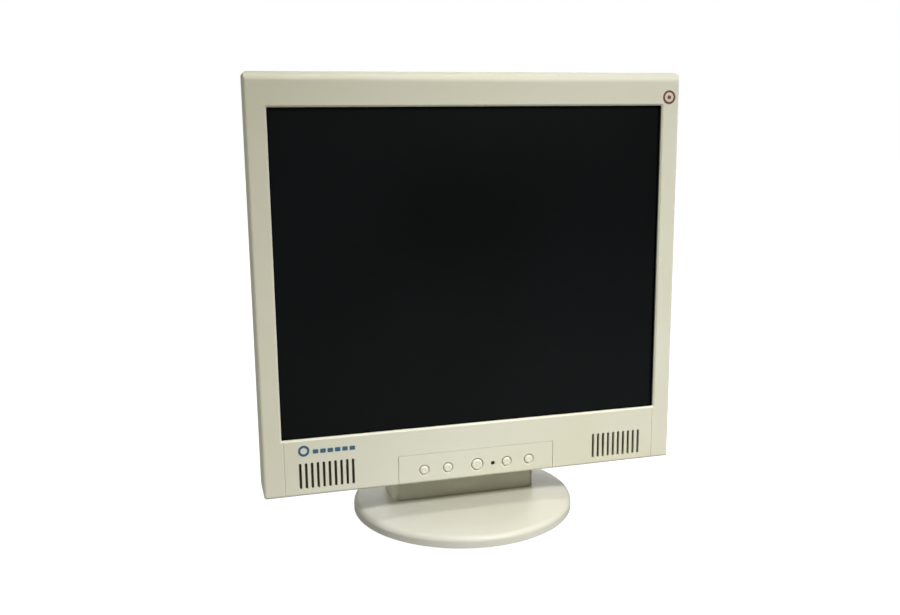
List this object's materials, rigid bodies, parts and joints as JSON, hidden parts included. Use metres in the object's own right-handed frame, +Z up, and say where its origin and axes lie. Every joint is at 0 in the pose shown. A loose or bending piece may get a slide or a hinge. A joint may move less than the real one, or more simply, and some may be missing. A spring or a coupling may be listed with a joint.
{
  "type": "computer monitor",
  "caption": "Flat panel desktop monitor with a nearly square screen, speaker slots and buttons under it, and a tilting head on a short wide neck and round foot.",
  "frame": {"origin": "centre of the round foot's underside, on the desk", "axes": "+Z up, +X to the viewer's right, +Y away from the viewer; the screen faces -Y"},
  "size_m": [0.374, 0.204, 0.396],
  "materials": {
    "ivory_plastic": "fine moulded texture, satin",
    "cap_plastic": "smooth satin button caps",
    "smoke_lens": "smoked clear plastic",
    "screen": "dark anti-glare panel front",
    "clear_acrylic": "clear acrylic sheet",
    "white_film": "white film",
    "lamp_glass": "coated glass tube",
    "zinc_steel": "zinc plated sheet",
    "screw_steel": "plated screw steel",
    "weight_steel": "bare steel plate",
    "green_board": "solder mask over glass fibre",
    "brown_board": "phenolic board",
    "black_plastic": "black moulding",
    "blue_plastic": "blue moulding",
    "green_plastic": "green moulding",
    "black_cloth": "woven grille cloth",
    "cone_paper": "pressed paper",
    "magnet": "ferrite with plated cup",
    "label_paper": "blank label",
    "sticker": "round sticker",
    "blue_print": "printed mark",
    "grey_ribbon": "flat ribbon cable",
    "red_wire": "insulated wire",
    "pink_wire": "high voltage wire",
    "brass": "brass washer",
    "black_rubber": "soft pads",
    "black_acetal": "acetal bush"
  },
  "bodies": {
    "stand": {"hinge_axle": "screw_steel", "hinge_bushes": "black_acetal", "friction_washers": "brass", "hinge_nuts": "screw_steel", "neck_front_cover": "ivory_plastic", "neck_rear_cover": "ivory_plastic", "neck_core": "zinc_steel", "foot_cover": "ivory_plastic", "foot_weight": "weight_steel", "foot_underside": "ivory_plastic", "foot_screws": "screw_steel", "rubber_pads": "black_rubber"},
    "head": {"front_bezel": "ivory_plastic", "button_panel": "ivory_plastic", "power_led": "smoke_lens", "button_board": "green_board", "button_switches": "black_plastic", "grille_cloths": "black_cloth", "speaker_frame_left": "black_plastic", "speaker_frame_right": "black_plastic", "speaker_cone_left": "cone_paper", "speaker_cone_right": "cone_paper", "speaker_magnets": "magnet", "lcd_glass": "screen", "lcd_front_frame": "zinc_steel", "optical_sheets": "white_film", "light_guide": "clear_acrylic", "backlight_lamps": "lamp_glass", "lamp_reflectors": "zinc_steel", "lcd_rear_tray": "zinc_steel", "panel_driver_board": "green_board", "chassis_plate": "zinc_steel", "chassis_screws": "screw_steel", "main_board": "green_board", "main_board_parts": "black_plastic", "video_connector": "blue_plastic", "audio_jack": "green_plastic", "power_board": "brown_board", "power_board_parts": "black_plastic", "mains_inlet": "black_plastic", "board_screws": "screw_steel", "board_shield": "zinc_steel", "wall_mount_posts": "screw_steel", "rear_cover": "ivory_plastic", "rear_cover_screws": "screw_steel", "rating_label": "label_paper", "round_label": "sticker", "front_badge": "blue_print", "panel_ribbon": "grey_ribbon", "button_ribbon": "grey_ribbon", "speaker_leads": "red_wire", "lamp_leads": "pink_wire", "hinge_bracket_left": "zinc_steel", "hinge_bracket_right": "zinc_steel", "hinge_bracket_screws": "screw_steel"},
    "menu_button": {"menu_button": "cap_plastic"},
    "select_button": {"select_button": "cap_plastic"},
    "power_button": {"power_button": "cap_plastic"},
    "down_button": {"down_button": "cap_plastic"},
    "up_button": {"up_button": "cap_plastic"}
  },
  "joints": [
    {"name": "tilt", "type": "hinge", "parent": "stand", "child": "head", "pos_m": [0, 0.002, 0.092], "axis": [-1, 0, 0], "range_deg": [-5, 20]},
    {"name": "menu_press", "type": "slide", "parent": "head", "child": "menu_button", "axis": [0, 1, 0], "range_m": [0, 0.0008], "stiffness_N_per_m": 500, "springref_m": -0.001},
    {"name": "select_press", "type": "slide", "parent": "head", "child": "select_button", "axis": [0, 1, 0], "range_m": [0, 0.0008], "stiffness_N_per_m": 500, "springref_m": -0.001},
    {"name": "power_press", "type": "slide", "parent": "head", "child": "power_button", "axis": [0, 1, 0], "range_m": [0, 0.0008], "stiffness_N_per_m": 500, "springref_m": -0.001},
    {"name": "down_press", "type": "slide", "parent": "head", "child": "down_button", "axis": [0, 1, 0], "range_m": [0, 0.0008], "stiffness_N_per_m": 500, "springref_m": -0.001},
    {"name": "up_press", "type": "slide", "parent": "head", "child": "up_button", "axis": [0, 1, 0], "range_m": [0, 0.0008], "stiffness_N_per_m": 500, "springref_m": -0.001}
  ]
}
